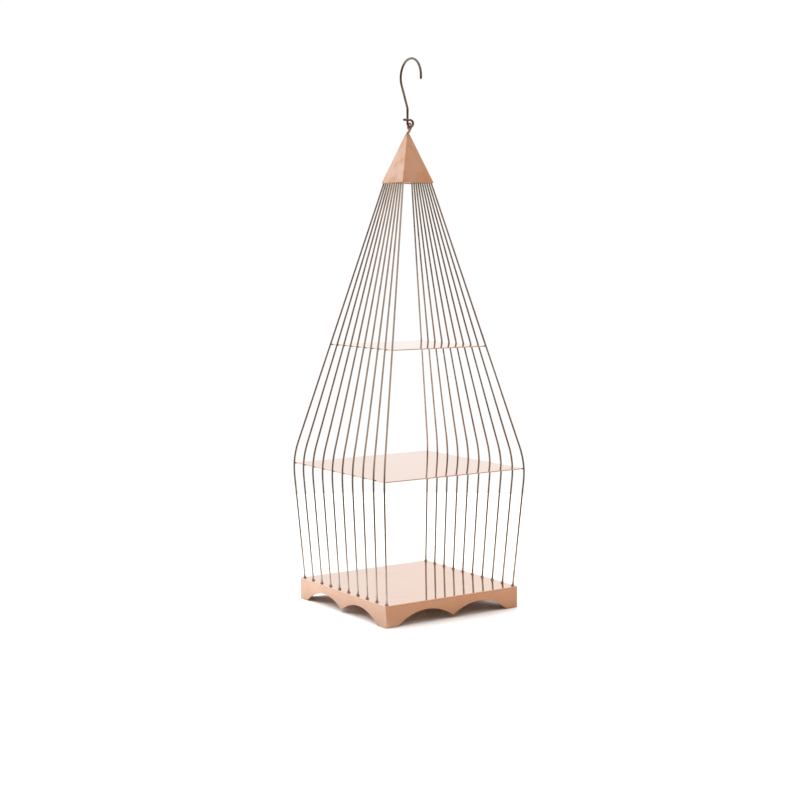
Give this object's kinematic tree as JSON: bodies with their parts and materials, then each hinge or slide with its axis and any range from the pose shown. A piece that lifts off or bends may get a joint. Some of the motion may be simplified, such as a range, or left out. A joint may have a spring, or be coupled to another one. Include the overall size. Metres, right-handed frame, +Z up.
{
  "type": "bird cage display stand",
  "caption": "Open bird-cage display stand: square base on scalloped aprons, bent wire side panels, shelves, pyramid cap and a linked wire hook.",
  "frame": {"origin": "middle of the base, on the surface that it stands on", "axes": "+Z up; -Y is the open front; the wire panels stand on the -X and +X sides"},
  "size_m": [0.2122, 0.2122, 0.6856],
  "materials": {
    "polished_plate": "mirror polished rose gold plating",
    "apron_sheet": "polished rose gold plating",
    "cap_sheet": "polished rose gold plating, brushed",
    "panel_wire": "polished rose gold plating",
    "weld": "plated weld bead, satin",
    "eye_wire": "polished rose gold plating",
    "hook_wire": "darker plated wire"
  },
  "bodies": {
    "cage": {"floor_plate": "polished_plate", "apron_front": "apron_sheet", "apron_right": "apron_sheet", "apron_back": "apron_sheet", "apron_left": "apron_sheet", "left_wire_1": "panel_wire", "left_wire_2": "panel_wire", "left_wire_3": "panel_wire", "left_wire_4": "panel_wire", "left_wire_5": "panel_wire", "left_wire_6": "panel_wire", "left_wire_7": "panel_wire", "left_wire_8": "panel_wire", "left_wire_9": "panel_wire", "left_wire_10": "panel_wire", "right_wire_1": "panel_wire", "right_wire_2": "panel_wire", "right_wire_3": "panel_wire", "right_wire_4": "panel_wire", "right_wire_5": "panel_wire", "right_wire_6": "panel_wire", "right_wire_7": "panel_wire", "right_wire_8": "panel_wire", "right_wire_9": "panel_wire", "right_wire_10": "panel_wire", "left_weld_beads": "weld", "right_weld_beads": "weld", "middle_shelf": "polished_plate", "top_shelf": "polished_plate", "crown_plate": "apron_sheet", "cap": "cap_sheet", "cap_eye": "eye_wire"},
    "hook": {"hook": "hook_wire"}
  },
  "joints": [
    {"name": "hook_swing", "type": "hinge", "parent": "cage", "child": "hook", "pos_m": [0.0042, 0, 0.6054], "axis": [0, 1, 0], "range_deg": [-75, 160]}
  ]
}
